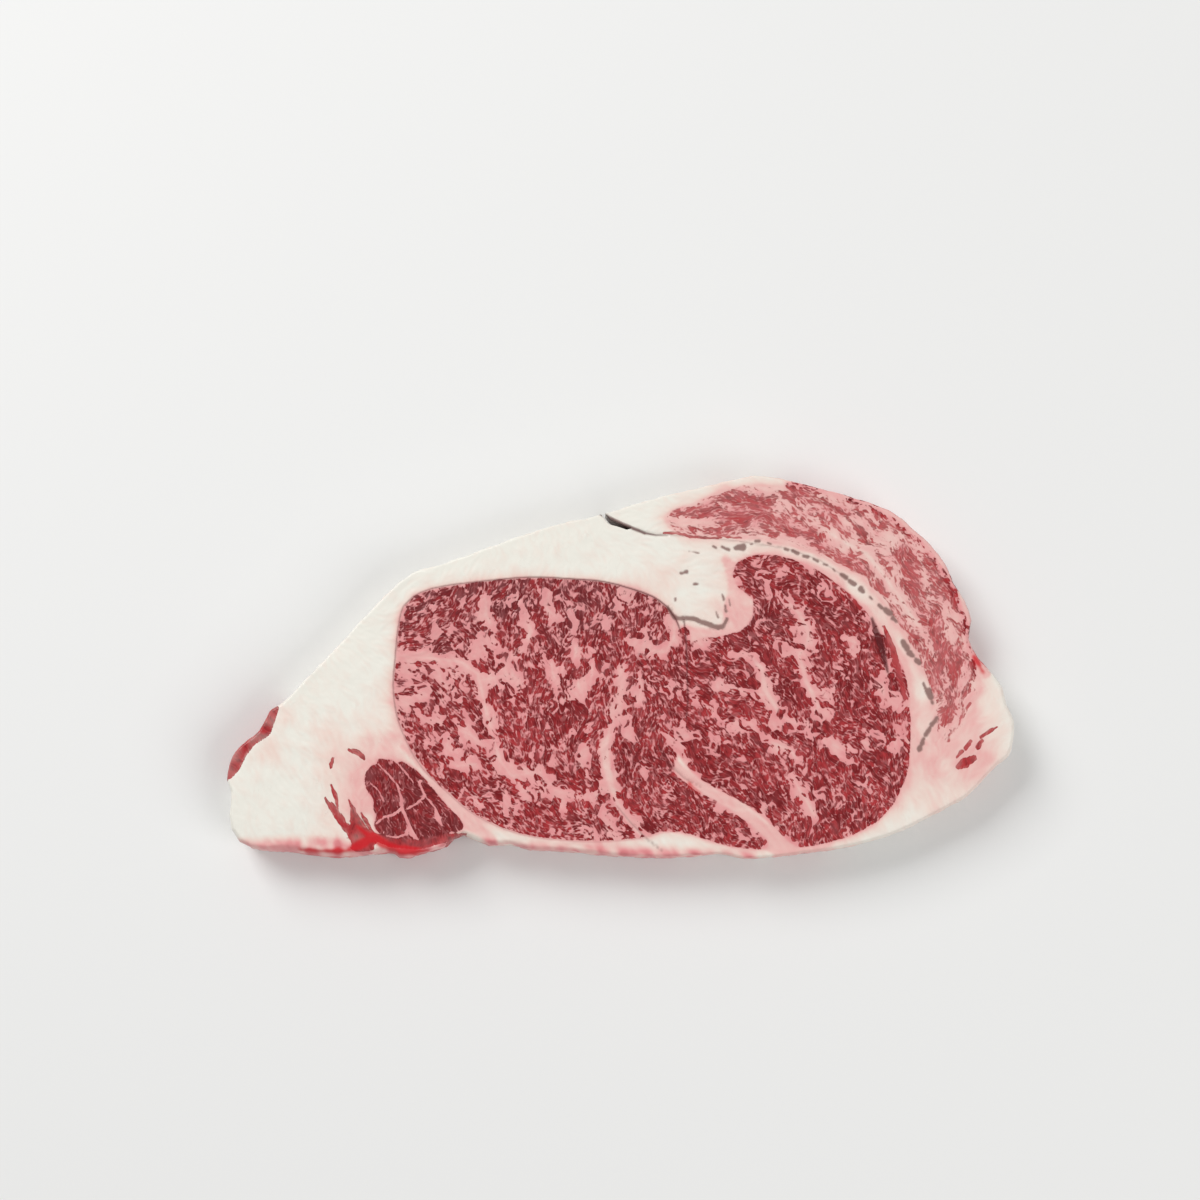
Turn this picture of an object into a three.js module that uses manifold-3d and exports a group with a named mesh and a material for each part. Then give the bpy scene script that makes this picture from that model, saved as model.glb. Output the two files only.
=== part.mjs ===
// A raw marbled sirloin steak lying on one cut face, in millimetres, +Z up.
// The fat is one connected body: a thick cap, the seams between the muscles and a thin rim.
// Each muscle and the strap of gristle runs through the fat from one cut face to the other.
import * as THREE from "three";
import { mergeVertices } from "three/addons/utils/BufferGeometryUtils.js";
import Module from "manifold-3d";

// Driving dimensions
const STEAK_LENGTH = 245.8;
const STEAK_DEPTH = 120.4;
const THICKNESS = 15;
const SEAM_GAP = 0.3; // free space between a muscle and the fat around it

// How finely the curves and the cut face are divided
const OUTLINE_STEP = 3.4;
const MUSCLE_STEP = 3.6;
const FACE_STEP = 4.6;
const MITRE_LIMIT = 2;

// The side of the steak: how far it stands in from its widest outline at each height.
// Heights with top: true are counted down from the upper cut face.
const SIDE_PROFILE = [
  { height: -1, inset: 2.3 },
  { height: 0, inset: 1.5 },
  { height: 1.6, inset: 0.5 },
  { height: 6.5, inset: 0 },
  { height: 2.2, inset: 0.35, top: true },
  { height: 0.7, inset: 0.9, top: true },
  { height: -1, inset: 2.3, top: true },
];

// Broad swells and hollows of the upper cut face
const SWELLS = [
  { at: [-25, -12], radius: 38, rise: 0.7 },
  { at: [58, -18], radius: 32, rise: 0.6 },
  { at: [-98, -34], radius: 26, rise: 0.5 },
  { at: [20, 24], radius: 20, rise: 0.5 },
  { at: [-62, -46], radius: 12, rise: -0.8 },
  { at: [100, 10], radius: 24, rise: -0.5 },
  { at: [112, -22], radius: 12, rise: 0.7 },
  { at: [8, -56], radius: 16, rise: -0.9 },
  { at: [16, -30], radius: 9, rise: -0.6 },
  { at: [85, -45], radius: 16, rise: -0.5 },
];
const WAVE = { height: 0.25, alongX: 31, alongY: 23 };

// The steak's outline seen from above, clockwise from the left corner: the fat cap's
// straight cut, the round back of the outer muscle, the fat lobe at the right and the
// ragged lower edge with its notch beside the flank muscle
const OUTLINE = [
  [-122, -46.5], [-121.5, -39.5], [-123, -35.5], [-122, -30], [-119.5, -25.5],
  [-113, -20], [-109.5, -13.5], [-106, -11.5], [-99, -4.5], [-89, 6], [-78, 18],
  [-66, 29], [-56.5, 32], [-44, 36.5], [-31.5, 41], [-19, 45], [-7.5, 47.2], [6, 51.5],
  [21.5, 55.5], [36, 59], [42, 60.2], [48.5, 59.5], [61, 56.5], [75, 52.5], [85.5, 48.5],
  [91, 44], [97.5, 38], [102, 32], [104.5, 26], [108, 20.5], [110, 14], [109, 8.5],
  [112, 2.5], [116.5, -2.5], [119.5, -7], [120.3, -11.5], [122.8, -17], [122.5, -23],
  [121, -28], [117, -31.5], [113, -35.5], [107.5, -41], [98.5, -46], [87.5, -51.5],
  [77, -55], [67, -57.2], [55, -58.8], [45.5, -59.8], [38, -60.2], [31, -58.8], [24.5, -59.4],
  [12, -60], [-3.5, -59.4], [-19, -58], [-28.5, -57.5], [-34.5, -56], [-41.5, -56.2],
  [-46, -54.5], [-49, -53], [-52.5, -54.2], [-55, -56.8], [-62.5, -58.8], [-66.3, -60.2],
  [-69.4, -60], [-71, -58.9], [-88.5, -60], [-102.5, -58.5], [-115, -57], [-119, -55],
  [-121.5, -51],
];

// The cut that opens the fat cap near the middle of its upper edge
const SLIT = [
  [-9, 50.5], [-7.4, 50.5], [-3.4, 46], [2, 43.6], [7.6, 41.9], [1.8, 42.7], [-4, 44.7],
];

const EYE_MUSCLE = [
  [-71, -6], [-70.5, 1.5], [-69.5, 12.5], [-68, 18.5], [-65, 21.5], [-59, 24], [-41, 26.5],
  [-28.5, 27.5], [-16, 27], [-5, 26], [2.5, 24], [9.5, 21.5], [14, 18.3], [16.8, 14.5],
  [18.6, 10], [19.2, 1.5], [19.2, -7.5], [16.8, -15], [12.8, -21.5], [13.8, -28.5],
  [17.5, -34], [23.5, -38.9], [31, -42.9], [37.5, -47.5], [43, -52], [46.5, -56.3],
  [41, -57], [34, -56.2], [27.5, -54.5], [21, -52.5], [14.5, -51.5], [5.5, -53.5],
  [-6.5, -54.5], [-19, -54], [-30, -52.5], [-39, -49.5], [-47, -45.2], [-54.5, -38.8],
  [-62, -31.5], [-67, -23], [-70, -14.5],
];

const INNER_CAP_MUSCLE = [
  [21.8, 7.5], [28.5, 9], [36.5, 10.6], [41, 15.5], [41, 20.5], [36.5, 24], [34.5, 28.5],
  [36.5, 32.5], [43, 35], [49.5, 34.5], [57.5, 32], [65.5, 27.5], [73, 21], [80, 12.5],
  [85.5, 4], [89, -4.5], [90, -13.5], [90, -23], [89, -32.5], [86, -40.5], [81, -47],
  [74, -51.5], [65.5, -54.6], [54, -56.3], [49.7, -52.6], [44.5, -47.6], [38, -42.7],
  [30.5, -39], [24, -35], [19.7, -30.5], [17, -25.5], [18, -20], [20.7, -14.5],
  [21.8, -7.5], [21.6, 0],
];

const OUTER_CAP_MUSCLE = [
  [13.5, 46.5], [16, 48.5], [22, 50.5], [28.5, 53.5], [36, 55.8], [45, 56.4], [54, 55.4],
  [63, 53.5], [72, 50.5], [81, 46.7], [88, 42], [94, 36], [99, 29.5], [102, 23.5],
  [104.5, 17.5], [106, 11.5], [106.8, 5.5], [109, -1], [109.8, -7], [108.5, -13.5],
  [105, -19.5], [101, -25], [98.5, -20.5], [98, -13.5], [95.5, -4.5], [91.5, 5],
  [86.5, 13.5], [81, 21.5], [74, 28.5], [64.5, 33.5], [54.5, 38], [43.5, 40.3],
  [31, 41], [20, 41.3], [14.8, 43.5],
];

const FLANK_MUSCLE = [
  [-80, -35.5], [-78.5, -32], [-75.5, -29], [-71, -29], [-66, -30.7], [-61.6, -34.6],
  [-57, -40], [-52.5, -45], [-48.8, -49], [-48.8, -50.8], [-51, -51.3], [-54.5, -53],
  [-58, -55], [-63, -56.2], [-69, -55.5], [-73.5, -53.5], [-76.5, -50.5], [-76.5, -46.5],
  [-78, -41],
];

// A thin forked strip of lean beside the flank muscle
const FLANK_SLIVER = [
  [-84, -42], [-81, -47], [-78, -51.5], [-75.8, -55], [-76.6, -57.3], [-80.5, -57.8],
  [-84.2, -57], [-83.6, -54.6], [-85.6, -51.6], [-89.5, -46.8], [-91.8, -42.4],
  [-90, -41.8], [-86.8, -46], [-84.2, -49.6], [-84.2, -45.6],
];

// A skin of lean on the side of the fat cap. Its outer points stand clear of the steak, so
// that the strip comes out at the side.
const EDGE_SLIVER = [
  [-106, -9], [-106.6, -13], [-107.6, -16.5], [-109.3, -21.5], [-114, -24.5],
  [-116.6, -28], [-118.8, -32.5], [-121.3, -35], [-127, -36.5], [-128, -30], [-121, -20],
  [-113, -10],
];

const GRISTLE_STRAP = [
  [19.8, 16.2], [23, 15.8], [27, 15.4], [30, 15.2], [31.3, 17.3], [33.4, 17.2],
  [33.8, 13.4], [30.6, 11.8], [26, 12.8], [22, 13.4], [20.1, 14.2],
];

const finish = (color, roughness) => ({ color, roughness, metalness: 0 });
const PIECES = [
  { name: "eye_muscle", loop: EYE_MUSCLE, look: finish(0xb66264, 0.38) },
  { name: "inner_cap_muscle", loop: INNER_CAP_MUSCLE, look: finish(0xb06263, 0.38) },
  { name: "outer_cap_muscle", loop: OUTER_CAP_MUSCLE, look: finish(0xd08283, 0.4) },
  { name: "flank_muscle", loop: FLANK_MUSCLE, look: finish(0x943f43, 0.38) },
  { name: "flank_sliver", loop: FLANK_SLIVER, look: finish(0xc4565b, 0.4) },
  { name: "edge_sliver", loop: EDGE_SLIVER, look: finish(0xb85b60, 0.42) },
  { name: "gristle_strap", loop: GRISTLE_STRAP, look: finish(0xac7d78, 0.45) },
];
const FAT_LOOK = finish(0xe0c0b8, 0.42);

const wasm = await Module();
wasm.setup();

// A closed curve through hand-placed points, as a counterclockwise loop with a vertex at
// every point and about one for each step between them
function smoothLoop(points, step) {
  const corners = points.map(([x, y]) => new THREE.Vector3(x, y, 0));
  const curve = new THREE.CatmullRomCurve3(corners, true, "centripetal");
  const loop = corners.flatMap((corner, i) => {
    const next = corners[(i + 1) % corners.length];
    const parts = Math.max(1, Math.round(corner.distanceTo(next) / step));
    return Array.from({ length: parts }, (_, k) => {
      const p = curve.getPoint((i + k / parts) / corners.length);
      return new THREE.Vector2(p.x, p.y);
    });
  });
  return THREE.ShapeUtils.isClockWise(loop) ? loop.reverse() : loop;
}

// A counterclockwise loop with every edge moved out by the distance. A vertex moves along
// the line that halves its corner, further at a sharp corner, up to MITRE_LIMIT times.
function grown(loop, distance) {
  const edgeNormal = (from, to) => new THREE.Vector2(to.y - from.y, from.x - to.x).normalize();
  return loop.map((p, i) => {
    const before = edgeNormal(loop[(i + loop.length - 1) % loop.length], p);
    const after = edgeNormal(p, loop[(i + 1) % loop.length]);
    const middle = before.clone().add(after).normalize();
    const reach = distance / Math.max(1 / MITRE_LIMIT, middle.dot(before));
    return p.clone().addScaledVector(middle, reach);
  });
}

function topHeight(x, y) {
  const swell = SWELLS.reduce((sum, { at, radius, rise }) => {
    const share = ((x - at[0]) ** 2 + (y - at[1]) ** 2) / radius ** 2;
    return sum + rise * Math.exp(-share);
  }, 0);
  return THICKNESS + swell + WAVE.height * Math.sin(x / WAVE.alongX) * Math.cos(y / WAVE.alongY);
}

function solidOf(geometry) {
  for (const name of ["normal", "uv"]) geometry.deleteAttribute(name);
  const merged = mergeVertices(geometry, 1e-4);
  return new wasm.Manifold(
    new wasm.Mesh({
      numProp: 3,
      vertProperties: new Float32Array(merged.attributes.position.array),
      triVerts: new Uint32Array(merged.index.array),
    }),
  );
}

function meshGeometry(positions, triangles) {
  const geometry = new THREE.BufferGeometry();
  geometry.setAttribute("position", new THREE.Float32BufferAttribute(positions, 3));
  geometry.setIndex(triangles);
  return geometry;
}

// A straight column that is taller than the steak
function column(loop) {
  const depth = THICKNESS * 2;
  const geometry = new THREE.ExtrudeGeometry(new THREE.Shape(loop), { depth, bevelEnabled: false });
  return solidOf(geometry.translate(0, 0, -THICKNESS / 2));
}

// The space inside the steak's rounded side: a stack of rings closed at both ends
function sideSolid(loop) {
  const count = loop.length;
  const rings = SIDE_PROFILE.map(({ height, inset, top }) =>
    grown(loop, -inset).map((p, i) => {
      const z = top ? topHeight(loop[i].x, loop[i].y) - height : height;
      return [p.x, p.y, z];
    }),
  );
  const triangles = [];
  for (let level = 0; level + 1 < rings.length; level++) {
    for (let i = 0; i < count; i++) {
      const a = level * count + i;
      const b = level * count + ((i + 1) % count);
      triangles.push(a, b, b + count, a, b + count, a + count);
    }
  }
  const lastRing = (rings.length - 1) * count;
  for (const [a, b, c] of THREE.ShapeUtils.triangulateShape(loop, [])) {
    triangles.push(c, b, a, a + lastRing, b + lastRing, c + lastRing);
  }
  return solidOf(meshGeometry(rings.flat(2), triangles));
}

// A block whose underside is the flat resting face and whose top is the swelling cut face
function faceSolid() {
  const columns = Math.ceil((STEAK_LENGTH + 4 * FACE_STEP) / FACE_STEP);
  const rows = Math.ceil((STEAK_DEPTH + 4 * FACE_STEP) / FACE_STEP);
  const positions = [];
  const triangles = [];
  for (const upper of [false, true]) {
    for (let row = 0; row <= rows; row++) {
      for (let col = 0; col <= columns; col++) {
        const x = (col - columns / 2) * FACE_STEP;
        const y = (row - rows / 2) * FACE_STEP;
        positions.push(x, y, upper ? topHeight(x, y) : 0);
      }
    }
  }
  const layer = (rows + 1) * (columns + 1);
  const at = (row, col) => row * (columns + 1) + col;
  for (let row = 0; row < rows; row++) {
    for (let col = 0; col < columns; col++) {
      const [a, b, c, d] = [at(row, col), at(row, col + 1), at(row + 1, col + 1), at(row + 1, col)];
      triangles.push(a, c, b, a, d, c);
      triangles.push(a + layer, b + layer, c + layer, a + layer, c + layer, d + layer);
    }
  }
  const wall = (a, b) => triangles.push(a, b, b + layer, a, b + layer, a + layer);
  for (let col = 0; col < columns; col++) {
    wall(at(0, col), at(0, col + 1));
    wall(at(rows, col + 1), at(rows, col));
  }
  for (let row = 0; row < rows; row++) {
    wall(at(row, columns), at(row + 1, columns));
    wall(at(row + 1, 0), at(row, 0));
  }
  return solidOf(meshGeometry(positions, triangles));
}

function meshOf(name, solid, look) {
  const { vertProperties, triVerts, numProp, numVert } = solid.getMesh();
  const positions = [];
  for (let i = 0; i < numVert; i++) {
    positions.push(...vertProperties.subarray(i * numProp, i * numProp + 3));
  }
  const geometry = meshGeometry(positions, Array.from(triVerts)).toNonIndexed();
  geometry.computeVertexNormals();
  const mesh = new THREE.Mesh(geometry, new THREE.MeshStandardMaterial(look));
  mesh.name = name;
  return mesh;
}

function buildSteak() {
  const steak = new THREE.Group();
  steak.name = "sirloin_steak";
  const slab = sideSolid(smoothLoop(OUTLINE, OUTLINE_STEP)).intersect(faceSolid());
  let fat = slab.subtract(column(SLIT.map(([x, y]) => new THREE.Vector2(x, y))));
  for (const { name, loop, look } of PIECES) {
    const edge = smoothLoop(loop, MUSCLE_STEP);
    fat = fat.subtract(column(grown(edge, SEAM_GAP)));
    steak.add(meshOf(name, slab.intersect(column(edge)), look));
  }
  steak.add(meshOf("fat", fat, FAT_LOOK));
  return steak;
}

// Puts the middle of the steak's box over the origin, with the resting face at z = 0
function centred(steak) {
  const box = new THREE.Box3().setFromObject(steak);
  const middle = box.getCenter(new THREE.Vector3());
  steak.position.set(-middle.x, -middle.y, -box.min.z);
  steak.updateMatrixWorld(true);
  return steak;
}

export default centred(buildSteak());
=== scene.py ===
import math

import bpy
import numpy as np
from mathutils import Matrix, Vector
from mathutils.bvhtree import BVHTree
from mathutils.geometry import delaunay_2d_cdt


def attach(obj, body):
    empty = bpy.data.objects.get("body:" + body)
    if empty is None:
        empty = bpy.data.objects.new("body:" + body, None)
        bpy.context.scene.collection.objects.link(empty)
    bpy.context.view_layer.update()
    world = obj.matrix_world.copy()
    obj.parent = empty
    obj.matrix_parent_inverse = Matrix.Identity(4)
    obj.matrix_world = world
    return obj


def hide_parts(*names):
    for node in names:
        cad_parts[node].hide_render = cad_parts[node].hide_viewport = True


# A raw marbled sirloin steak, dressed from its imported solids.
# Work is done in millimetres in the row frame; meshes are written in metres.
MM = 0.001

# The photograph's camera: it looks almost straight down at the cut face
PHOTO_TILT = math.radians(5)
PHOTO_DISTANCE = 620.0
PIXELS_PER_MM = 3.2
PHOTO_MIDDLE = 600
AIM = (-6.64, 20.46)
FACE_HEIGHT = 15.2
FOCAL_PIXELS = PIXELS_PER_MM * PHOTO_DISTANCE
SENSOR_MM = 36.0

# The grid that holds the cut face's colour and relief fields
GRID_STEP = 0.25
GRID_HALF = (126.0, 64.0)
LOOP_STEP = 1.0
STROKE_REACH = 6.0

# How the lines along the grain are followed from every cell
PATH_STEP = 0.35
PATH_STEPS = 9

# Mesh spacing
MARBLED_STEP = 0.36
PLAIN_STEP = 0.8
UNDERSIDE_STEP = 0.62
OUTLINE_STEP = 0.5
LEAST_GAP = 0.2

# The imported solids
MID_HEIGHT = 7.0
SEAM_GAP = 0.3

# The side: how far in the cut faces begin, the rounding at the foot, and the rings between
FACE_INSET = 0.45
FOOT = (1.2, 1.8)
SIDE_RINGS = 9
SINK = 0.22
SLIT_BLUNT = 3.4
NORMAL_REACH = 1.5

# The nodes
MARBLED = ["eye_muscle", "inner_cap_muscle", "outer_cap_muscle", "flank_muscle"]
MUSCLES = [*MARBLED, "flank_sliver"]
SIDE_STRIP = "edge_sliver"
GRISTLE = "gristle_strap"
CASE = "fat"

FLOOR_HALF = 4.0


def srgb(red, green, blue):
    """A colour given as 0 to 255 on a screen, as linear light."""
    parts = [c / 255 for c in (red, green, blue)]
    return [c / 12.92 if c <= 0.04045 else ((c + 0.055) / 1.055) ** 2.4 for c in parts]


# Marks read off the photograph, in its pixels; widths are in millimetres.

# How the fibre bundles run: place and angle from +X in degrees
GRAIN = [
    (421, 601, 30), (472, 601, 60), (543, 601, 80), (615, 601, 100), (656, 627, 70), (421, 642, 20),
    (472, 642, -45), (513, 646, 95), (553, 652, 88), (594, 652, 75), (635, 662, 85), (666, 672, 110),
    (417, 682, -20), (462, 693, -55), (502, 703, -65), (543, 703, 95), (584, 693, 85), (625, 703, 90),
    (651, 703, 100), (411, 733, -50), (451, 733, -50), (513, 744, -75), (553, 744, 90), (584, 733, 75),
    (625, 744, 90), (649, 733, -75), (431, 774, -42), (472, 764, -45), (513, 780, -50), (553, 774, -60),
    (594, 774, -60), (635, 784, -85), (666, 784, -50), (472, 805, -40), (513, 815, -35),
    (553, 815, -45), (594, 815, -50), (625, 825, -50), (666, 815, -35), (574, 833, -5), (738, 559, 5),
    (778, 565, -10), (765, 596, -50), (796, 596, -30), (830, 606, -45), (856, 622, -50),
    (885, 643, -70), (901, 682, -70), (906, 735, -88), (712, 643, -35), (746, 654, -40),
    (786, 648, -55), (817, 664, -70), (699, 682, -30), (738, 695, -35), (786, 695, -65),
    (830, 695, -60), (869, 701, -60), (686, 722, -40), (738, 735, -35), (778, 735, -45),
    (830, 735, -50), (869, 742, -40), (686, 774, -45), (738, 787, -45), (791, 774, -60),
    (817, 800, -80), (830, 826, -70), (686, 808, -35), (738, 813, -38), (778, 821, -50), (676, 518, 5),
    (707, 512, 10), (738, 497, 3), (772, 507, -12), (806, 520, -30), (838, 544, -42), (864, 570, -48),
    (888, 596, -50), (908, 622, -55), (843, 512, -35), (882, 528, -40), (916, 549, -42),
    (937, 578, -55), (956, 606, -60), (929, 643, -65), (948, 669, -80), (961, 682, 80), (942, 708, 60),
    (966, 708, 55), (974, 742, 50), (686, 531, -4), (738, 536, -8), (778, 538, -20), (817, 549, -35),
    (394, 772, -80), (425, 782, -60), (404, 803, -85), (383, 824, -70), (436, 814, -55),
]

# How richly marbled and how dull the lean is: place, fatness, dullness
MARBLING = [
    (421, 611, 0, 0.8), (502, 597, -0.05, 1), (584, 611, -0.05, 1), (645, 611, 0.1, 0.7),
    (421, 682, 0.35, 0.55), (451, 733, 0.3, 0.25), (523, 703, -0.1, 0), (553, 733, -0.05, 0),
    (513, 646, 0.15, 0.3), (584, 658, 0.15, 0.1), (635, 662, 0.05, 0.2), (656, 703, -0.05, 0.1),
    (645, 774, -0.3, 0.2), (482, 795, 0.05, 0), (584, 815, 0.1, 0), (441, 764, 0.05, 0),
    (533, 815, 0.15, 0), (676, 795, -0.25, 0.1), (752, 565, 0, 0.4), (770, 617, -0.05, 0.6),
    (822, 617, -0.15, 0.3), (864, 617, -0.2, 0.2), (890, 656, -0.35, 0.1), (864, 708, -0.5, 0.1),
    (791, 682, -0.25, 0.2), (712, 664, -0.1, 0.2), (725, 716, -0.15, 0), (738, 761, -0.3, 0.1),
    (791, 774, -0.1, 0), (699, 813, -0.35, 0.1), (752, 831, -0.35, 0.1), (830, 774, -0.1, 0),
    (817, 826, -0.1, 0), (838, 813, -0.2, 0), (686, 520, 0.3, 0), (738, 504, 0.3, 0.2),
    (791, 525, 0.3, 0), (843, 559, 0.15, 0), (882, 606, 0.15, 0), (856, 520, 0.35, 0),
    (908, 572, 0.15, 0.1), (935, 622, 0.2, 0), (956, 656, 0.3, 0), (948, 708, 0.5, 0),
    (922, 604, 0.2, 0), (404, 793, -0.75, 0.35), (850, 490, 0.75, 0), (905, 520, 0.7, 0),
    (945, 558, 0.65, 0), (968, 600, 0.55, 0), (980, 640, 0.6, 0), (716, 572, 0.55, 0.3),
    (722, 598, 0.45, 0.3),
]

# The main veins of fat in the muscles: points with the vein's width there
VEINS = [
    [(621, 691, 0.5), (615, 711, 0.9), (609, 731, 1.6), (604, 750, 4), (607, 768, 3.7), (611, 784, 3.1),
     (617, 803, 2.5), (627, 819, 2.2), (639, 833, 1.9), (653, 846, 1.6)], [(398, 656, 1.2),
     (431, 658, 1.9), (462, 662, 2), (478, 674, 2.5), (482, 693, 2.2), (488, 719, 1.9), (494, 740, 2.2),
     (500, 760, 1.9), (511, 776, 1.6), (535, 772, 1.2), (549, 780, 0.9)], [(458, 729, 1.6),
     (472, 736, 1.6), (490, 750, 1.2)], [(449, 738, 1.9), (445, 754, 0.9)], [(427, 719, 1.2),
     (441, 723, 1.2)], [(482, 680, 1.6), (511, 674, 1.6), (521, 682, 0.9)], [(486, 599, 1.2),
     (486, 615, 2.5), (491, 625, 1.6)], [(549, 593, 1.9), (547, 609, 1.9), (558, 619, 1.2)],
    [(527, 621, 1.9), (531, 631, 2.8), (527, 642, 1.2)], [(574, 644, 1.2), (576, 652, 2.2),
     (574, 660, 1.2)], [(551, 664, 1.9), (553, 674, 1.9), (558, 682, 0.9)], [(578, 682, 1.9),
     (580, 693, 1.9)], [(592, 664, 1.9), (592, 674, 1.9), (590, 691, 1.2)], [(641, 650, 1.6),
     (666, 652, 2.2), (674, 638, 1.9), (674, 617, 1.6)], [(639, 670, 0.6), (641, 687, 1.6),
     (639, 703, 1.2)], [(621, 670, 1.2), (621, 691, 1.2)], [(553, 791, 0.7), (564, 797, 1.2),
     (584, 798, 1.2), (600, 793, 0.9)], [(521, 793, 1.2), (527, 789, 0.9)], [(458, 766, 1.6),
     (476, 764, 1.6)], [(474, 656, 1.2), (494, 642, 1.5)], [(519, 658, 1.2), (515, 666, 1.2)],
    [(666, 736, 0.7), (674, 744, 1.5), (682, 760, 1.2)], [(746, 651, 1.9), (762, 669, 2.8),
     (765, 690, 3.1), (778, 711, 2.5)], [(720, 682, 1.2), (746, 693, 1.6), (765, 695, 1.9)],
    [(783, 596, 1.9), (799, 614, 2.5), (810, 633, 2.8), (806, 646, 1.9), (799, 655, 1.9),
     (806, 682, 2.8), (818, 706, 2.5), (814, 718, 1.2)], [(843, 638, 1.9), (855, 643, 2.2),
     (848, 654, 1.2)], [(840, 682, 1.2), (827, 695, 1.2)], [(778, 714, 1.6), (796, 724, 1.6)],
    [(770, 742, 1.6), (791, 750, 2.8), (797, 759, 1.9)], [(752, 722, 0.9), (765, 742, 0.9),
     (783, 761, 1.2), (796, 784, 1.6), (806, 800, 2), (816, 818, 1.9)], [(707, 792, 1.2),
     (728, 803, 2.2), (749, 818, 2.5), (770, 834, 3.1), (791, 847, 3.1)], [(684, 771, 0.9),
     (707, 789, 1.2)], [(887, 668, 0.5), (891, 684, 0.8), (898, 707, 1.2)], [(833, 745, 1.9),
     (848, 753, 1.2)], [(890, 748, 1.2), (907, 750, 1.2)], [(759, 575, 0.9), (786, 572, 1.2)],
    [(809, 520, 1.6), (838, 538, 2.2), (867, 554, 2.5), (882, 572, 2.5), (895, 591, 1.9),
     (911, 614, 1.9), (924, 633, 1.2)], [(877, 531, 1.2), (895, 538, 1.6)], [(919, 557, 1.9),
     (924, 572, 1.9)], [(778, 499, 0.9), (801, 506, 1.2)], [(665, 523, 1), (699, 521, 1.2)],
]

# Fine straight lines of fat in the flank muscle
FLANK_LINES = [
    [(397, 785, 0.4), (401, 797, 0.7), (402, 809, 0.9), (409, 825, 0.8), (406, 834, 0.9)],
    [(378, 764, 0.3), (388, 774, 0.4), (397, 785, 0.4)], [(396, 762, 0.4), (406, 773, 0.4),
     (414, 783, 0.3)], [(401, 809, 0.7), (393, 815, 0.8), (384, 817, 0.6), (376, 824, 0.4)],
    [(419, 783, 0.5), (425, 796, 0.7), (416, 804, 0.5), (407, 809, 0.5)], [(425, 796, 0.4),
     (435, 808, 0.5), (437, 817, 1.7), (442, 826, 0.4)], [(409, 825, 0.6), (412, 834, 1.6),
     (418, 840, 0.5)], [(406, 834, 0.6), (396, 838, 0.5), (386, 836, 0.4)], [(430, 778, 0.3),
     (440, 790, 0.3), (450, 805, 0.3), (458, 816, 0.3)], [(369, 782, 0.3), (378, 790, 0.3),
     (384, 802, 0.4)],
]

# Where the seam between the two big muscles is itself marbled lean
SEAM_MEAT = [(684, 632, 4), (686, 690, 6), (672, 735, 7), (668, 764, 5)]

# Where marbled lean reaches past the outer cap muscle to the steak's edge
OUTER_MEAT = [
    (790, 486, 3), (840, 498, 5), (885, 522, 6), (922, 552, 6), (948, 590, 6), (962, 625, 5),
    (970, 655, 5), (972, 690, 4),
]

# Lean that lies in the fat: strips and specks
LEAN_STRIPS = [
    [(331, 785, 0.6), (335, 795, 1.5), (338, 809, 0.7)], [(325, 798, 0.6), (331, 809, 1.2),
     (340, 822, 1), (353, 838, 1)], [(349, 800, 0.6), (355, 815, 1.5), (361, 825, 1.8),
     (372, 838, 1.8)], [(361, 813, 0.6), (366, 821, 1.3), (373, 834, 1)], [(347, 838, 0.5),
     (360, 842, 0.9), (372, 846, 0.9)], [(372, 836, 2), (392, 843, 3), (420, 845, 3), (446, 838, 2.6),
     (466, 834, 0.8)], [(349, 750, 1), (356, 752, 1.7), (362, 756, 1.6), (364, 759, 0.8)],
    [(333, 758, 0.8), (331, 764, 1.3), (331, 768, 0.7)], [(997, 727, 0.6), (990, 731, 1.3),
     (981, 737, 1.1)], [(982, 741, 1.4), (978, 747, 1.7)], [(971, 741, 1.1), (966, 748, 1.6)],
    [(962, 751, 1.2), (957, 757, 1)], [(958, 767, 1.6), (965, 763, 3.4), (974, 758, 1.9)],
    [(664, 533, 0.7), (676, 533, 0.9), (686, 535, 0.6)], [(683, 536, 0.6), (696, 537, 0.9),
     (708, 538, 0.8), (722, 538, 0.5)], [(716, 534, 0.5), (728, 537, 0.8), (742, 538, 0.6)],
    [(884, 626, 0.9), (893, 648, 1.8), (899, 672, 1.8), (905, 698, 1.1)],
]

# Dark lines, and painted shade in the slits and creases: points with the line's width
SLIT = [(598, 512, 1), (620, 523, 1.1), (645, 533, 0.8)]
SLIT_END = [(632, 528, 0.5), (645, 533, 0.5), (656, 535, 0.4), (668, 535, 0.2)]
EYE_SEAM = [(684, 620, 0.3), (686, 640, 0.35), (687, 665, 0.35), (688, 700, 0.3), (686, 722, 0.2)]
CREASE = [
    (639, 655, 0.2), (644, 676, 0.25), (648, 700, 0.3), (650, 719, 0.35), (656, 738, 0.5),
    (662, 752, 0.6), (671, 766, 0.5), (684, 778, 0.35), (700, 787, 0.2),
]
VEIN_LINE = [(617, 806, 0.25), (630, 822, 0.35), (646, 838, 0.45), (662, 851, 0.4)]
CAP_SLIT = [(872, 618, 0.6), (878, 636, 1.9), (883, 652, 1.8), (888, 672, 0.6)]
CAP_LINE = [
    (668, 535, 0.3), (700, 537, 0.3), (738, 541, 0.2), (786, 548, 0.2), (820, 560, 0.2),
    (850, 580, 0.2),
]

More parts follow.
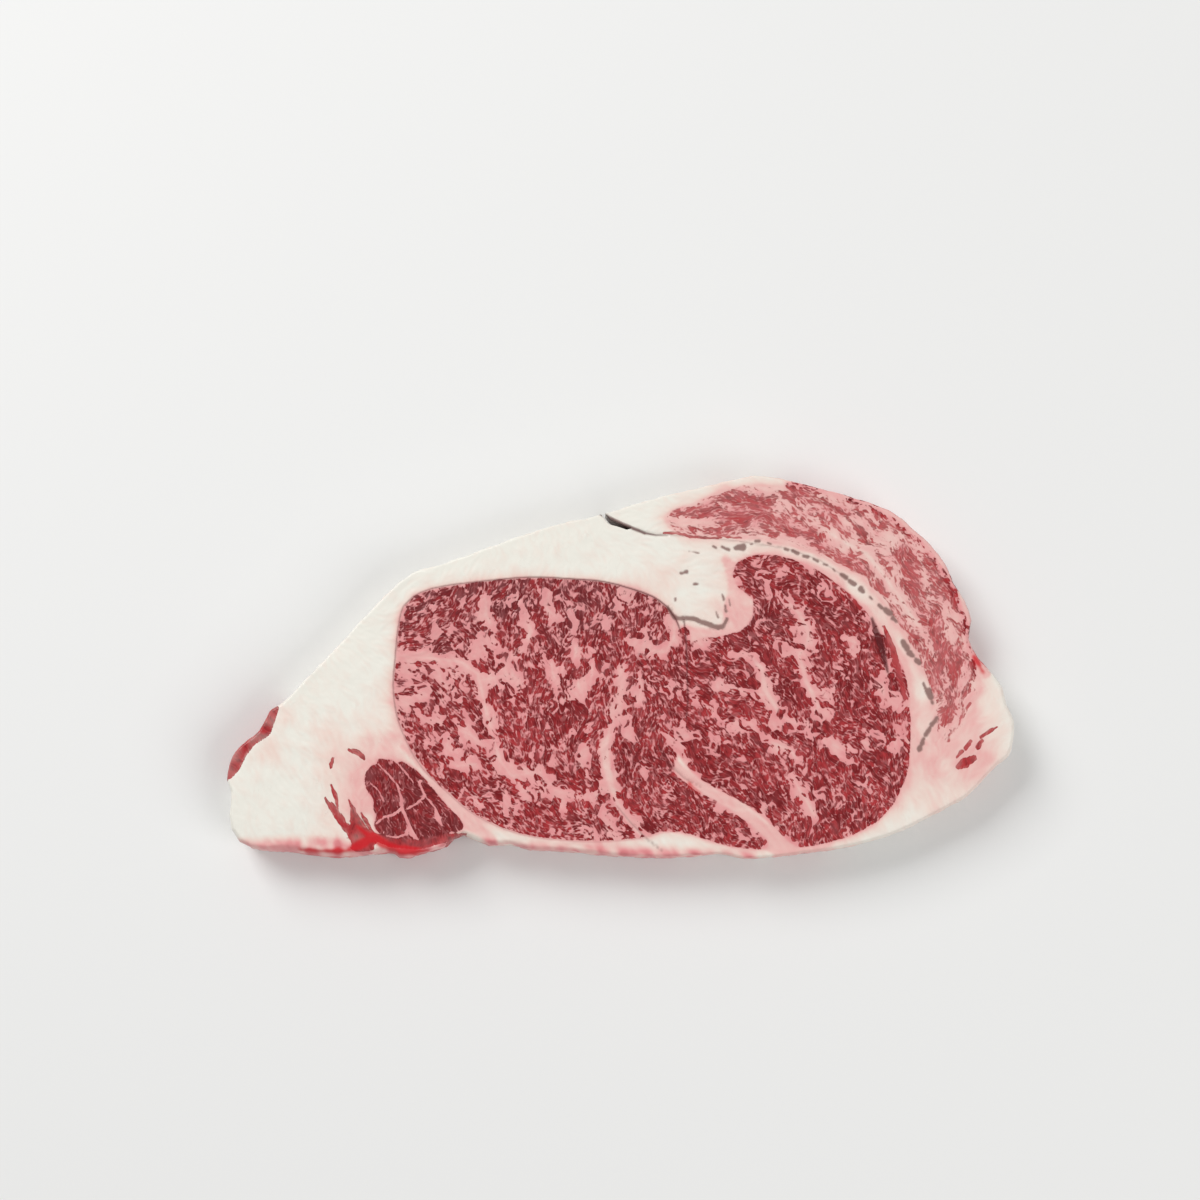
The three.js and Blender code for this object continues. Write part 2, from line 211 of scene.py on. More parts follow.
# Grey gristle: the strap's edge, and the flecks in the fat beside it and round the inner cap
GRISTLE_BAND = [
    (668, 607, 0.9), (671, 613, 1.3), (676, 618, 1.6), (684, 618, 1.5), (693, 619, 1.6),
    (702, 622, 1.6), (710, 625, 1.7), (718, 628, 1.6), (723, 626, 1.5), (727, 619, 1.1),
]
GRISTLE_FLECKS = [
    [(726, 612, 1), (725, 606, 0.7)], [(724, 600, 0.7), (722, 594, 0.6)], [(730, 606, 0.5),
     (729, 599, 0.5)], [(718, 618, 0.7), (716, 612, 0.5)], [(681, 573, 1), (687, 572, 1.3)],
    [(694, 584, 0.8), (698, 584, 0.7)], [(675, 599, 0.7), (675, 601, 0.7)], [(689, 551, 0.5),
     (699, 553, 0.5)], [(713, 546, 0.7), (716, 548, 0.8)], [(722, 547, 0.9), (729, 550, 1.1)],
    [(736, 548, 1.8), (743, 547, 2.4)], [(750, 544, 0.6), (752, 544, 0.5)], [(756, 541, 1.1),
     (759, 541, 1)], [(768, 543, 0.6), (771, 544, 0.6)], [(785, 549, 0.9), (788, 550, 0.9)],
    [(793, 551, 1.3), (798, 553, 1.3)], [(804, 556, 1.1), (808, 557, 1)], [(814, 559, 1.1),
     (818, 561, 1)], [(824, 564, 1), (827, 565, 0.8)], [(833, 569, 0.6), (835, 571, 0.6)],
    [(841, 574, 1.1), (846, 578, 1.7)], [(850, 581, 1.6), (855, 584, 1.6)], [(861, 589, 2),
     (863, 591, 1.8)], [(870, 597, 0.7), (872, 599, 0.7)], [(879, 605, 1.2), (882, 608, 1.4)],
    [(886, 610, 2), (890, 613, 2.2)], [(893, 618, 1.6), (896, 621, 1.1)], [(903, 641, 1.5),
     (907, 648, 2.2)], [(910, 653, 2), (913, 656, 1.4)], [(917, 660, 1.9), (920, 663, 1.5)],
    [(924, 684, 1.1), (926, 688, 1.2)], [(929, 691, 2.4), (931, 697, 2)], [(933, 702, 1.1),
     (933, 704, 0.8)], [(937, 718, 1.2), (932, 725, 1.6)], [(930, 728, 1.4), (926, 735, 1.4)],
    [(924, 739, 1.2), (920, 749, 1.8)],
]

# Wet red stains
STAINS = [
    [(346, 851, 1), (358, 846, 1.8), (372, 838, 3), (384, 845, 2.4), (397, 849, 2.8), (412, 851, 1.9),
     (427, 853, 1.2)], [(356, 826, 0.5), (364, 832, 1.2), (371, 838, 2)], [(300, 850, 0.6),
     (322, 851, 1), (346, 851, 1.2)], [(974, 657, 0.8), (979, 664, 1.1), (983, 671, 0.8)],
    [(700, 793, 0.5), (690, 784, 0.7)],
]

# Fat that is tinged pink: place, radius in millimetres, amount
BLUSHES = [
    (345, 772, 9, 0.32), (358, 800, 8, 0.32), (330, 742, 8, 0.16), (372, 742, 7, 0.25),
    (342, 826, 7, 0.3), (386, 700, 5, 0.2), (392, 740, 6, 0.25), (270, 752, 5, 0.25),
    (288, 718, 4, 0.2), (704, 636, 7, 0.2), (720, 606, 6, 0.35), (660, 580, 7, 0.22),
    (720, 484, 8, 0.2), (780, 541, 8, 0.2), (838, 572, 7, 0.25), (875, 592, 6, 0.3),
    (897, 625, 7, 0.42), (908, 655, 6, 0.4), (917, 695, 7, 0.35), (915, 745, 8, 0.42),
    (940, 757, 8, 0.2), (972, 700, 9, 0.3), (980, 740, 9, 0.3), (975, 768, 8, 0.3), (960, 752, 8, 0.15),
    (930, 800, 14, 0.25), (800, 855, 8, 0.4), (455, 797, 5, 0.3), (478, 822, 5, 0.3),
    (735, 560, 7, 0.2), (700, 545, 8, 0.12), (945, 560, 6, 0.2),
]

# Seams of fat that are pink all through
PINK_SEAMS = [
    [(726, 560, 2), (735, 575, 3), (738, 592, 6), (738, 612, 8), (732, 630, 6), (708, 638, 4),
     (686, 632, 2)], [(672, 764, 2.5), (690, 784, 4.2), (712, 798, 4.6), (740, 816, 5), (765, 836, 5.4),
     (788, 852, 5.4)], [(800, 482, 2), (860, 498, 3), (910, 528, 3), (948, 570, 4), (970, 620, 4),
     (985, 670, 4)], [(404, 746, 0.8), (418, 762, 1), (433, 779, 1.4), (455, 803, 2), (471, 824, 3),
     (492, 840, 2.4)],
]

# How dark the thin skin is round the eye muscle
EYE_SKIN = [
    (396, 650, 0.75), (400, 605, 0.7), (450, 584, 0.8), (530, 578, 0.9), (600, 581, 1), (650, 594, 1.3),
    (674, 612, 1.3), (684, 650, 0), (680, 720, 0), (660, 760, 0), (700, 800, 0), (395, 700, 0.7),
    (410, 750, 0.5), (450, 795, 0.35), (520, 832, 0.3), (600, 842, 0.2),
]

# The band of fat along the lower rim that is mixed with pink tissue
PINK_RIM = [
    [(234, 846, 2), (256, 848, 4), (280, 848, 5.2), (310, 849, 5.6), (346, 851, 5.2), (380, 854, 4),
     (430, 852, 3), (455, 842, 2)], [(486, 846, 2), (530, 850, 3), (570, 854, 4), (620, 856, 4.4),
     (664, 856, 4.4), (706, 858, 3.6), (750, 858, 2.6)],
]

# How rounded the upper rim is: place, how far in it starts and how deep it reaches
RIM = [
    (228, 800, 1.4, 3), (250, 738, 1.2, 2.5), (330, 652, 0.7, 1.2), (400, 580, 0.7, 1.2),
    (500, 541, 0.8, 1.4), (590, 516, 0.7, 1.2), (640, 502, 0.7, 1.2), (760, 474, 0.9, 1.6),
    (860, 499, 0.9, 1.8), (945, 560, 1.2, 2.4), (972, 630, 1.4, 3), (1010, 700, 1.8, 4),
    (1014, 750, 1.8, 4), (950, 808, 1.8, 4), (850, 848, 1.6, 3.5), (745, 860, 1.4, 3),
    (660, 858, 1.8, 4.5), (560, 852, 2.2, 5), (487, 847, 2.4, 6), (440, 848, 1.6, 5),
    (380, 858, 2.8, 8), (300, 857, 3.4, 9), (245, 848, 2.2, 6),
]


def on_face(px, py):
    """The place on the cut face, in millimetres, that a pixel of the photograph shows."""
    right = (px - PHOTO_MIDDLE) / FOCAL_PIXELS
    up = (PHOTO_MIDDLE - py) / FOCAL_PIXELS
    forward_y = math.sin(PHOTO_TILT) + up * math.cos(PHOTO_TILT)
    forward_z = -math.cos(PHOTO_TILT) + up * math.sin(PHOTO_TILT)
    reach = PHOTO_DISTANCE * math.cos(PHOTO_TILT) / -forward_z
    x = AIM[0] + reach * right
    y = AIM[1] - PHOTO_DISTANCE * math.sin(PHOTO_TILT) + reach * forward_y
    return x, y


# Fields on the grid

AXIS_X = np.arange(-GRID_HALF[0], GRID_HALF[0], GRID_STEP) + GRID_STEP / 2
AXIS_Y = np.arange(-GRID_HALF[1], GRID_HALF[1], GRID_STEP) + GRID_STEP / 2
GX, GY = np.meshgrid(AXIS_X, AXIS_Y)
ROWS, COLS = GX.shape


def rise(values, low, high):
    """0 up to low, 1 from high on, and a smooth rise between."""
    t = np.clip((values - low) / (high - low), 0, 1)
    return t * t * (3 - 2 * t)


def blur(field, sigma):
    """The field with a Gaussian blur of sigma millimetres."""
    fy = np.fft.fftfreq(ROWS, GRID_STEP)[:, None]
    fx = np.fft.rfftfreq(COLS, GRID_STEP)[None, :]
    window = np.exp(-2 * (np.pi * sigma) ** 2 * (fx**2 + fy**2))
    return np.fft.irfft2(np.fft.rfft2(field) * window, s=field.shape)


def noise(scale, seed):
    """Even random blobs about scale millimetres across, with a spread of 1."""
    grain = np.random.default_rng(seed).standard_normal(GX.shape)
    blobs = blur(grain, 0.35 * scale) - blur(grain, 0.7 * scale)
    return blobs / blobs.std()


def between_cells(field, u, v):
    """The field's values at column u and row v, blended from the four cells around each."""
    i = u.astype(int)
    j = v.astype(int)
    low = field[j, i] * (1 - (u - i)) + field[j, i + 1] * (u - i)
    high = field[j + 1, i] * (1 - (u - i)) + field[j + 1, i + 1] * (u - i)
    return low * (1 - (v - j)) + high * (v - j)


def sample(field, x, y):
    """The field's values at places in millimetres."""
    u = np.clip((x - AXIS_X[0]) / GRID_STEP, 0, COLS - 1.001)
    v = np.clip((y - AXIS_Y[0]) / GRID_STEP, 0, ROWS - 1.001)
    return between_cells(field, u, v)


def stroke(points):
    """Half the width less the distance to a tapering line through photograph points."""
    best = np.full(GX.shape, -STROKE_REACH)
    line = [(*on_face(x, y), width) for x, y, width in points]
    x, y = np.array(line).T[:2]
    columns = slice(*np.searchsorted(AXIS_X, [x.min() - STROKE_REACH, x.max() + STROKE_REACH]))
    rows = slice(*np.searchsorted(AXIS_Y, [y.min() - STROKE_REACH, y.max() + STROKE_REACH]))
    x = GX[rows, columns]
    y = GY[rows, columns]
    for (ax, ay, aw), (bx, by, bw) in zip(line, line[1:]):
        ex = bx - ax
        ey = by - ay
        share = np.clip(((x - ax) * ex + (y - ay) * ey) / (ex * ex + ey * ey), 0, 1)
        distance = np.hypot(x - ax - share * ex, y - ay - share * ey)
        inside = 0.5 * (aw + (bw - aw) * share) - distance
        best[rows, columns] = np.maximum(best[rows, columns], inside)
    return best


def strokes(lines):
    return np.max([stroke(line) for line in lines], axis=0)


def loop_distance(loop):
    """The distance in from a closed loop, negative outside it, over the grid."""
    ax = np.arange(-GRID_HALF[0], GRID_HALF[0] + LOOP_STEP, LOOP_STEP)
    ay = np.arange(-GRID_HALF[1], GRID_HALF[1] + LOOP_STEP, LOOP_STEP)
    x, y = (g[..., None] for g in np.meshgrid(ax, ay))
    end = np.roll(loop, -1, axis=0)
    sx, sy = loop.T
    ex, ey = (end - loop).T
    length = np.maximum(ex * ex + ey * ey, 1e-9)
    share = np.clip(((x - sx) * ex + (y - sy) * ey) / length, 0, 1)
    distance = np.hypot(x - sx - share * ex, y - sy - share * ey).min(axis=-1)
    tall = (sy > y) != (end[:, 1] > y)
    cross = x < sx + (y - sy) * ex / np.where(ey == 0, 1e-9, ey)
    inside = (tall & cross).sum(axis=-1) % 2 == 1
    signed = np.where(inside, distance, -distance)
    return between_cells(signed, (GX + GRID_HALF[0]) / LOOP_STEP, (GY + GRID_HALF[1]) / LOOP_STEP)


def spread(marks, column, softness, power):
    """One value of marks at photograph places, blended over the grid by closeness."""
    total = 0
    weights = 0
    for mark in marks:
        x, y = on_face(*mark[:2])
        weight = 1 / ((GX - x) ** 2 + (GY - y) ** 2 + softness**2) ** (power / 2)
        total = total + weight * mark[column]
        weights = weights + weight
    return total / weights


def grain_direction():
    turns = [(px, py, np.exp(2j * np.radians(turn))) for px, py, turn in GRAIN]
    angle = np.angle(spread(turns, 2, 3.0, 2.6)) / 2
    angle += 0.22 * noise(9.0, 11) + 0.22 * noise(4.0, 12)
    return np.cos(angle), np.sin(angle)


class Grain:
    """The lines along which the fibre bundles run, followed a short way from every cell."""

    def __init__(self):
        self.dx, self.dy = grain_direction()
        self.paths = []
        for sign in (-1, 1):
            x, y = GX, GY
            for k in range(1, PATH_STEPS + 1):
                ux = sample(self.dx, x, y)
                uy = sample(self.dy, x, y)
                x = x + sign * PATH_STEP * ux
                y = y + sign * PATH_STEP * uy
                self.paths.append((k * PATH_STEP, x, y))

    def smear(self, field, length):
        """The field drawn out along the grain, with a spread of 1."""
        total = field.copy()
        for reach, x, y in self.paths:
            if reach <= length:
                share = math.cos(0.5 * math.pi * reach / (length + PATH_STEP)) ** 2
                total += share * sample(field, x, y)
        return total / total.std()

    def bundles(self, across, along, wobble, seed):
        """Cells stretched along the grain: how clear of its edge a place is, and its cell."""
        rng = np.random.default_rng(seed)
        size = math.sqrt(across * along)
        border = 3
        nx = int(2 * GRID_HALF[0] / size) + 2 * border + 1
        ny = int(2 * GRID_HALF[1] / size) + 2 * border + 1
        seed_x = -GRID_HALF[0] + (np.arange(nx)[None, :] - border + rng.random((ny, nx))) * size
        seed_y = -GRID_HALF[1] + (np.arange(ny)[:, None] - border + rng.random((ny, nx))) * size
        x = GX + wobble * noise(1.2 * across, seed + 1)
        y = GY + wobble * noise(1.2 * across, seed + 2)
        column = ((x + GRID_HALF[0]) / size).astype(int) + border
        row = ((y + GRID_HALF[1]) / size).astype(int) + border
        first = np.full(GX.shape, 1e9)
        second = np.full(GX.shape, 1e9)
        owner = np.zeros(GX.shape, int)
        for dj in range(-2, 3):
            for di in range(-2, 3):
                j = np.clip(row + dj, 0, ny - 1)
                i = np.clip(column + di, 0, nx - 1)
                rx = x - seed_x[j, i]
                ry = y - seed_y[j, i]
                run = (rx * self.dx + ry * self.dy) / along
                side = (ry * self.dx - rx * self.dy) / across
                distance = size * np.hypot(run, side)
                nearer = distance < first
                second = np.where(nearer, first, np.minimum(second, distance))
                owner = np.where(nearer, j * nx + i, owner)
                first = np.where(nearer, distance, first)
        return 0.5 * (second - first), owner, seed_x.ravel(), seed_y.ravel(), rng


def cell_field(cells, fatness, fine):
    """Lean bundles with fat between them, some of them hollow, and each bundle's own chance."""
    edge, owner, seed_x, seed_y, rng = cells
    chance = rng.standard_normal(len(seed_x))[owner]
    state = 0.56 - 0.7 * sample(fatness, seed_x, seed_y)[owner] - 0.3 * fatness
    state = rise(state + 0.34 * chance, -0.42, 0.30)
    field = 0.9 * edge + 0.06 * fine - (0.76 - 0.69 * state)
    hollow = rng.random(len(seed_x))[owner] < 0.35
    ring = 0.42 - np.abs(0.9 * edge - 0.42)
    return np.where(hollow, np.minimum(field, ring + 0.06 * fine), field), chance


def lean_field(depths):
    """How surely a place is lean, from -1 in fat to 1, with the tone noises beside it."""
    grain = Grain()
    patch = grain.smear(noise(7.5, 21), 3.0)
    clump = grain.smear(noise(2.8, 22), 2.4)
    fine = grain.smear(noise(1.1, 23), 0.8)
    outer = rise(depths["outer_cap_muscle"], -1.5, 0.5)
    flank = rise(depths["flank_muscle"], -0.5, 0.5)
    group_edge = grain.bundles(3.6, 6.5, 0.6, 31)[0]
    coarse = (depths["inner_cap_muscle"] > 0) & (patch + 0.6 * clump > -0.8)
    coarse = coarse | (patch + 0.6 * clump > 0.5)
    sets = [
        (grain.bundles(1.45, 2.9, 0.40, 41), np.ones(GX.shape, bool)),
        (grain.bundles(2.3, 4.3, 0.60, 43), coarse),
        (grain.bundles(1.1, 7.0, 0.28, 45), outer > 0),
    ]
    fatness = spread(MARBLING, 2, 4.0, 3.0) + 0.20 * patch + 0.28 * clump
    fatness += 0.55 * (1 - rise(2 * group_edge, 0.0, 0.45)) * rise(patch + clump, -1.0, 1.2)
    fatness += 2.2 * rise(strokes(VEINS) + 0.25 * clump, -0.8, 0.3)
    meat = np.max([depths[name] for name in MARBLED], axis=0)
    meat = np.maximum(meat, strokes([SEAM_MEAT, OUTER_MEAT]))
    field = np.zeros(GX.shape)
    chance = np.zeros(GX.shape)
    for cells, where in sets:
        here, luck = cell_field(cells, fatness, fine)
        field = np.where(where, here, field)
        chance = np.where(where, luck, chance)
    field = 0.14 + (field - 0.14) * (1 - 0.45 * outer) + 0.12 * flank
    ragged = (0.10 + 0.25 * flank + 0.30 * outer) * clump
    field = np.minimum(field, (meat + ragged - 0.25) / 0.8)
    field = np.minimum(field, -(strokes(FLANK_LINES) + 0.04 * fine) / 0.4)
    strips = strokes(LEAN_STRIPS) + 0.08 * fine
    strips = np.maximum(strips, depths["flank_sliver"] - 0.2 + 0.15 * fine)
    strips = np.maximum(strips, depths[SIDE_STRIP] + 0.15)
    field = np.maximum(field, strips / 0.8)
    tones = {
        "patch": patch, "clump": clump, "fine": fine, "chance": chance, "outer": outer,
        "flank": flank, "strip": rise(strips, -0.4, 0.2),
        "along_x": grain.dx * grain.dx - grain.dy * grain.dy, "along_y": 2 * grain.dx * grain.dy,
    }
    return np.clip(field, -1, 1), meat, tones


def face_fields(depths):
    """Every colour field of the cut face by name, and its low relief in millimetres."""
    lean, meat, tones = lean_field(depths)
    patch, clump, fine, chance, outer, flank, strip, along_x, along_y = tones.values()
    solid = rise(lean, -0.14, 0.17)
    near = blur(solid, 1.1)
    within = rise(meat, -0.4, 0.6)
    inner_tint = 0.66 + 0.30 * near + 0.03 * clump - 0.14 * outer
    inner_tint -= 0.12 * rise(strokes(VEINS), 0.2, 1.2)
    blush = pink_fat(meat, patch, clump)
    dull = np.maximum(spread(MARBLING, 3, 4.0, 3.0), 0.4 * flank)
    deep = 0.15 + 0.5 * near + 0.2 * fine + 0.12 * chance + 0.12 * patch
    deep -= 0.42 * outer + 0.45 * strip - 0.2 * flank
    grey = rise(strokes([GRISTLE_BAND, *GRISTLE_FLECKS]) + 0.08 * fine, -0.12, 0.18)
    # Painted shade in the slits and creases, with the dark lines and the eye muscle's dark skin
    dark = rise(strokes([EYE_SEAM, CAP_SLIT, SLIT, SLIT_END]), -0.22, 0.12)
    dark = np.maximum(dark, 0.45 * rise(strokes([CREASE, CAP_LINE, VEIN_LINE]), -0.22, 0.12))
    dark = np.maximum(dark, eye_skin(depths["eye_muscle"]))
    return {
        "lean": lean, "tint": blush + (inner_tint - blush) * within,
        "dull": np.clip(dull * (0.85 + 0.28 * clump + 0.1 * patch), 0, 1) * within,
        "deep": np.clip(deep, -0.2, 1), "grey": grey, "dark": dark,
        "wet": rise(strokes(STAINS) + 0.25 * clump, -0.9, 0.4),
        "lines": 0.22 - 0.02 * flank - 0.1 * strip,
        "pale": np.clip(0.22 * outer + 0.08 * strip + 0.05 * clump, 0, 1),
        "along_x": along_x, "along_y": along_y,
        "relief": face_relief(solid, dark, grey, clump, fine),
    }


def pink_fat(meat, patch, clump):
    """How pink the fat is outside the muscles, from 0 for white to 1."""
    blush = 0.52 * np.exp(-np.maximum(-meat, 0) / 1.6)
    blush += 0.42 * rise(strokes(PINK_SEAMS), -1.2, 0.4)
    for px, py, radius, amount in BLUSHES:
        x, y = on_face(px, py)
        blush += amount * np.exp(-((GX - x) ** 2 + (GY - y) ** 2) / radius**2)
    blush = np.clip(blush * (1 + 0.16 * patch) + 0.03 * clump, 0, 0.6)
    rim = (0.72 + 0.12 * clump) * rise(strokes(PINK_RIM), -2.4, 1.2)
    return np.clip(blush + rim, 0, 1)


def eye_skin(depth):
    """The thin dark skin round the eye muscle, strongest along its top."""
    strength = spread(EYE_SKIN, 2, 2.0, 4.0)
    width = 0.12 + 0.16 * np.clip(strength - 0.7, 0, 1)
    return np.clip(strength, 0, 1) * rise(width - np.abs(depth), -0.22, 0.1)


def face_relief(solid, dark, grey, clump, fine):
    """Fat stands a little proud of the lean, and seams and creases are grooves."""
    relief = -0.10 * blur(solid, 0.3) + 0.04 * clump + 0.02 * fine
    relief += 0.05 * noise(9.0, 51) + 0.012 * noise(0.7, 52)
    relief -= 0.10 * dark + 0.06 * grey
    for line, depth, low, high in (
        (CREASE, 0.5, -0.9, 0.5), (CAP_SLIT, 0.4, -0.7, 0.5), (SLIT_END, 0.5, -0.8, 0.3),
    ):
        relief -= depth * rise(stroke(line), low, high)
    return relief


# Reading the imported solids


def slice_outline(node):
    """A solid's outline at mid height, in millimetres and counterclockwise."""
    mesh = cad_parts[node].data
    mesh.calc_loop_triangles()
    points = np.array([v.co for v in mesh.vertices]) / MM
    links = {}
    for triangle in mesh.loop_triangles:
        corners = points[list(triangle.vertices)]
        above = corners[:, 2] > MID_HEIGHT
        if above.all() or not above.any():
            continue
        ends = {}
        for a, b in ((0, 1), (1, 2), (2, 0)):
            if above[a] != above[b]:
                share = (MID_HEIGHT - corners[a][2]) / (corners[b][2] - corners[a][2])
                ends[bool(above[a])] = corners[a] + share * (corners[b] - corners[a])
        start, stop = (tuple(np.round(ends[side][:2], 3)) for side in (False, True))
        if start != stop:
            links[start] = stop
    loops = []
    while links:
        start, here = links.popitem()
        loop = [start]
        while here != start:
            loop.append(here)
            here = links.pop(here)
        loop = np.array(loop)
        loops.append(loop if area(loop) > 0 else loop[::-1])
    return thinned(max(loops, key=area))


def area(loop):
    x, y = loop.T
    return 0.5 * (np.dot(x, np.roll(y, -1)) - np.dot(y, np.roll(x, -1)))


def thinned(loop):
    """The loop without points that are too close to the one before."""
    kept = [loop[0]]
    for point in loop[1:]:
        if np.hypot(*(point - kept[-1])) >= LEAST_GAP:
            kept.append(point)
    if np.hypot(*(kept[-1] - kept[0])) < LEAST_GAP:
        kept.pop()
    return np.array(kept)


def spline(points, closed=True):
    """A smooth curve through every point, with a vertex about each step of its length."""
    count = len(points)
    curve = []
    for i in range(count if closed else count - 1):
        if closed:
            p0, p1, p2, p3 = (points[(i + k) % count] for k in (-1, 0, 1, 2))
        else:
            p0, p1, p2, p3 = (points[min(max(i + k, 0), count - 1)] for k in (-1, 0, 1, 2))
        chord = np.hypot(*(p2 - p1))
        first = 0.5 * (p2 - p0) * chord / max(0.5 * (chord + np.hypot(*(p1 - p0))), 1e-6)
        last = 0.5 * (p3 - p1) * chord / max(0.5 * (chord + np.hypot(*(p3 - p2))), 1e-6)
        pieces = max(1, round(chord / OUTLINE_STEP))
        for t in np.arange(pieces) / pieces:
            curve.append(
                (2 * t**3 - 3 * t**2 + 1) * p1
                + (t**3 - 2 * t**2 + t) * first
                + (3 * t**2 - 2 * t**3) * p2
                + (t**3 - t**2) * last
            )
    if not closed:
        curve.append(points[-1])
    return np.array(curve)


def normals_of(loop):
    """Unit vectors out of a counterclockwise loop."""
    along = np.roll(loop, -1, axis=0) - np.roll(loop, 1, axis=0)
    outward = np.stack([along[:, 1], -along[:, 0]], axis=1)
    return outward / np.linalg.norm(outward, axis=1)[:, None]


def gap_to(points, loop):
    """The distance from each point to a closed loop, and the index of its closest vertex."""
    gaps = []
    closest = []
    for part in np.array_split(points, len(points) // 3000 + 1):
        index = ((part[:, None, :] - loop[None, :, :]) ** 2).sum(axis=2).argmin(axis=1)
        best = np.full(len(part), np.inf)
        for a, b in ((index, (index + 1) % len(loop)), (index, index - 1)):
            edge = loop[b] - loop[a]
            along = ((part - loop[a]) * edge).sum(axis=1) / (edge**2).sum(axis=1)
            foot = loop[a] + np.clip(along, 0, 1)[:, None] * edge
            best = np.minimum(best, np.linalg.norm(part - foot, axis=1))
        gaps.append(best)
        closest.append(index)
    return np.concatenate(gaps), np.concatenate(closest)


def filled(loop):
    """The loop with straight stretches filled with close points."""
    points = []
    for a, b in zip(loop, np.roll(loop, -1, axis=0)):
        pieces = max(1, math.ceil(np.hypot(*(b - a)) / LEAST_GAP))
        points += [a + (b - a) * k / pieces for k in range(pieces)]
    return np.array(points)


class Layout:
    """The steak's outline and the curves between its pieces, seen from above."""

    def __init__(self):
        case = slice_outline(CASE)
        case = case[np.linalg.norm(case - on_face(*SLIT[-1][:2]), axis=1) > SLIT_BLUNT]
        self.join_strip(case, slice_outline(SIDE_STRIP))
        self.loops = {}
        for name in [*MUSCLES, GRISTLE]:
            loop = slice_outline(name)
            self.loops[name] = spline(loop + 0.5 * SEAM_GAP * normals_of(loop))

    def join_strip(self, case, strip):
        """The whole outline: the case's free side, then the side strip's."""
        case_free = gap_to(case, filled(strip))[0] > 1.6 * SEAM_GAP
        strip_free = gap_to(strip, filled(case))[0] > 1.6 * SEAM_GAP
        case, strip = (
            np.roll(loop, -np.flatnonzero(free & ~np.roll(free, 1))[0], axis=0)
            for loop, free in ((case, case_free), (strip, strip_free))
        )
        arcs = [case[: case_free.sum()], strip[: strip_free.sum()]]
        self.outline = spline(np.concatenate(arcs))
        seam = spline(strip[strip_free.sum() :], closed=False)
        self.strip_seam = seam[gap_to(seam, self.outline)[0] > 2 * FACE_INSET]
        last, first = gap_to(self.strip_seam[[0, -1]], self.outline)[1]
        self.strip_range = (int(first), int(last))


# The mesh


def wave_noise(points, scale, seed, waves=28):
    """Smooth random values at 3-D points, about scale millimetres from one hump to the next."""
    rng = np.random.default_rng(seed)
    directions = rng.standard_normal((waves, 3))
    directions *= 2 * np.pi / scale / np.linalg.norm(directions, axis=1)[:, None]
    directions *= rng.uniform(0.6, 1.4, waves)[:, None]
    phases = rng.uniform(0, 2 * np.pi, waves)
    return np.sin(points @ directions.T + phases).sum(axis=1) / math.sqrt(waves / 2)


def top_heights():
    """The height of the solids' upper cut face over the grid, without its facets."""
    trees = []
    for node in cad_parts.values():
        node.data.calc_loop_triangles()
        corners = [v.co / MM for v in node.data.vertices]
        faces = [tuple(t.vertices) for t in node.data.loop_triangles]
        trees.append(BVHTree.FromPolygons(corners, faces))
    coarse = 8
    heights = np.zeros(GX[::coarse, ::coarse].shape)
    for j, y in enumerate(AXIS_Y[::coarse]):
        for i, x in enumerate(AXIS_X[::coarse]):
            hits = [tree.ray_cast(Vector((x, y, 30)), Vector((0, 0, -1)))[0] for tree in trees]
            heights[j, i] = max([hit.z for hit in hits if hit], default=0)
    known = heights > 13.5
    heights = np.repeat(np.repeat(heights * known, coarse, 0), coarse, 1)[:ROWS, :COLS]
    known = np.repeat(np.repeat(known.astype(float), coarse, 0), coarse, 1)[:ROWS, :COLS]
    return blur(heights, 3.0) / np.maximum(blur(known, 3.0), 1e-3)


def rounding(gap, start, depth):
    """How far a rounded edge has dropped at a distance in from the side."""
    share = 1 - np.clip(gap / start, 0, 1)
    return depth * (1 - np.sqrt(1 - share**2))


